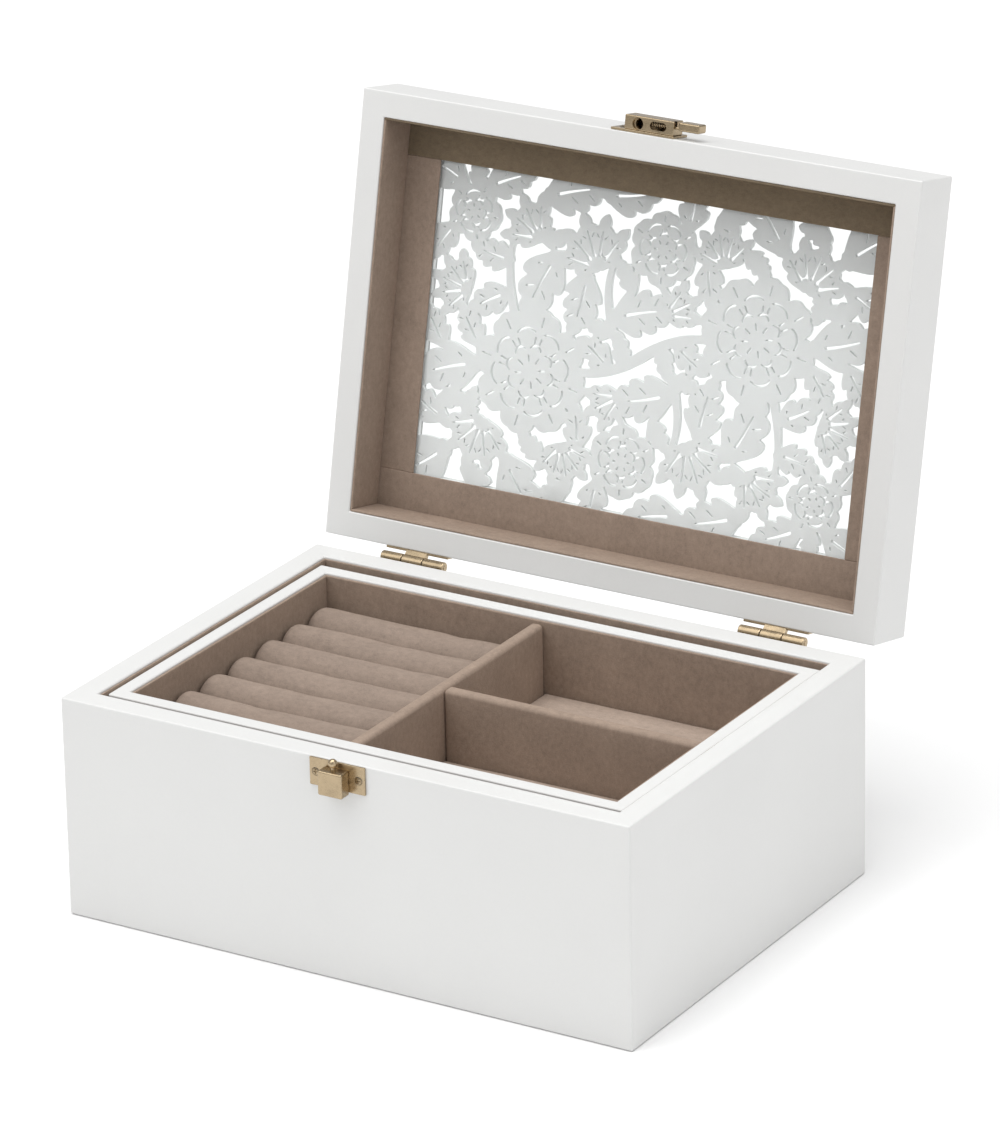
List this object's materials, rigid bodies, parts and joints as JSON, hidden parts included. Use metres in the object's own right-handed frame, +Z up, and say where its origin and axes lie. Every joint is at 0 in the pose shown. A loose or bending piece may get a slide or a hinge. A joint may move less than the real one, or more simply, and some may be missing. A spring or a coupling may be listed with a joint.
{
  "type": "jewellery box with lift-out ring tray",
  "caption": "Lacquered jewellery box with a hinged glass and fretwork lid, a suede-lined lift-out tray with ring rolls, and a brass ball catch.",
  "frame": {"origin": "centre of the underside of the box, on the surface it stands on", "axes": "+X to the box's right, -Y towards its front, +Z up; the lid is open at rest and the tray is in the box"},
  "size_m": [0.26, 0.2665, 0.2873],
  "materials": {
    "lacquer": "satin white lacquer on fibreboard",
    "suede": "short-napped suede over card",
    "suede_pad": "short-napped suede over foam",
    "brass": "pale polished plating",
    "glass": "clear"
  },
  "bodies": {
    "base": {"base_front": "lacquer", "base_back": "lacquer", "base_left": "lacquer", "base_right": "lacquer", "base_floor": "lacquer", "base_lining_front": "suede", "base_lining_back": "suede", "base_lining_left": "suede", "base_lining_right": "suede", "base_floor_pad": "suede", "tray_supports": "suede", "keeper_plate": "brass", "keeper_block": "brass", "keeper_ball": "brass", "hinge_base_leaf_left": "brass", "hinge_base_leaf_right": "brass", "hinge_pins": "brass", "base_screws": "brass"},
    "lid": {"lid_front": "lacquer", "lid_back": "lacquer", "lid_left": "lacquer", "lid_right": "lacquer", "lid_top_board": "lacquer", "lid_glass": "glass", "lid_fretwork": "lacquer", "lid_lining_front": "suede", "lid_lining_back": "suede", "lid_lining_left": "suede", "lid_lining_right": "suede", "lid_ledge_front": "suede", "lid_ledge_back": "suede", "lid_ledge_left": "suede", "lid_ledge_right": "suede", "catch_plate": "brass", "catch_housing": "brass", "hinge_lid_leaf_left": "brass", "hinge_lid_leaf_right": "brass", "lid_screws": "brass"},
    "catch_slide": {"catch_slide": "brass"},
    "tray": {"tray_front": "lacquer", "tray_back": "lacquer", "tray_left": "lacquer", "tray_right": "lacquer", "tray_floor": "lacquer", "tray_lining_front": "suede", "tray_lining_back": "suede", "tray_lining_left": "suede", "tray_lining_right": "suede", "tray_divider_long": "suede", "tray_divider_cross": "suede", "tray_pad_back": "suede_pad", "tray_pad_front": "suede_pad", "ring_roll_1": "suede_pad", "ring_roll_2": "suede_pad", "ring_roll_3": "suede_pad", "ring_roll_4": "suede_pad", "ring_roll_5": "suede_pad", "ring_roll_6": "suede_pad", "ring_roll_7": "suede_pad"}
  },
  "joints": [
    {"name": "lid_hinge", "type": "hinge", "parent": "base", "child": "lid", "pos_m": [0, 0.0983, 0.0928], "axis": [1, 0, 0], "range_deg": [0, 102]},
    {"name": "catch_press", "type": "slide", "parent": "lid", "child": "catch_slide", "axis": [-1, 0, 0], "range_m": [0, 0.0015], "stiffness_N_per_m": 300, "springref_m": -0.001},
    {"name": "tray_lift", "type": "slide", "parent": "base", "child": "tray", "axis": [0, 0, 1], "range_m": [0, 0.12]}
  ]
}
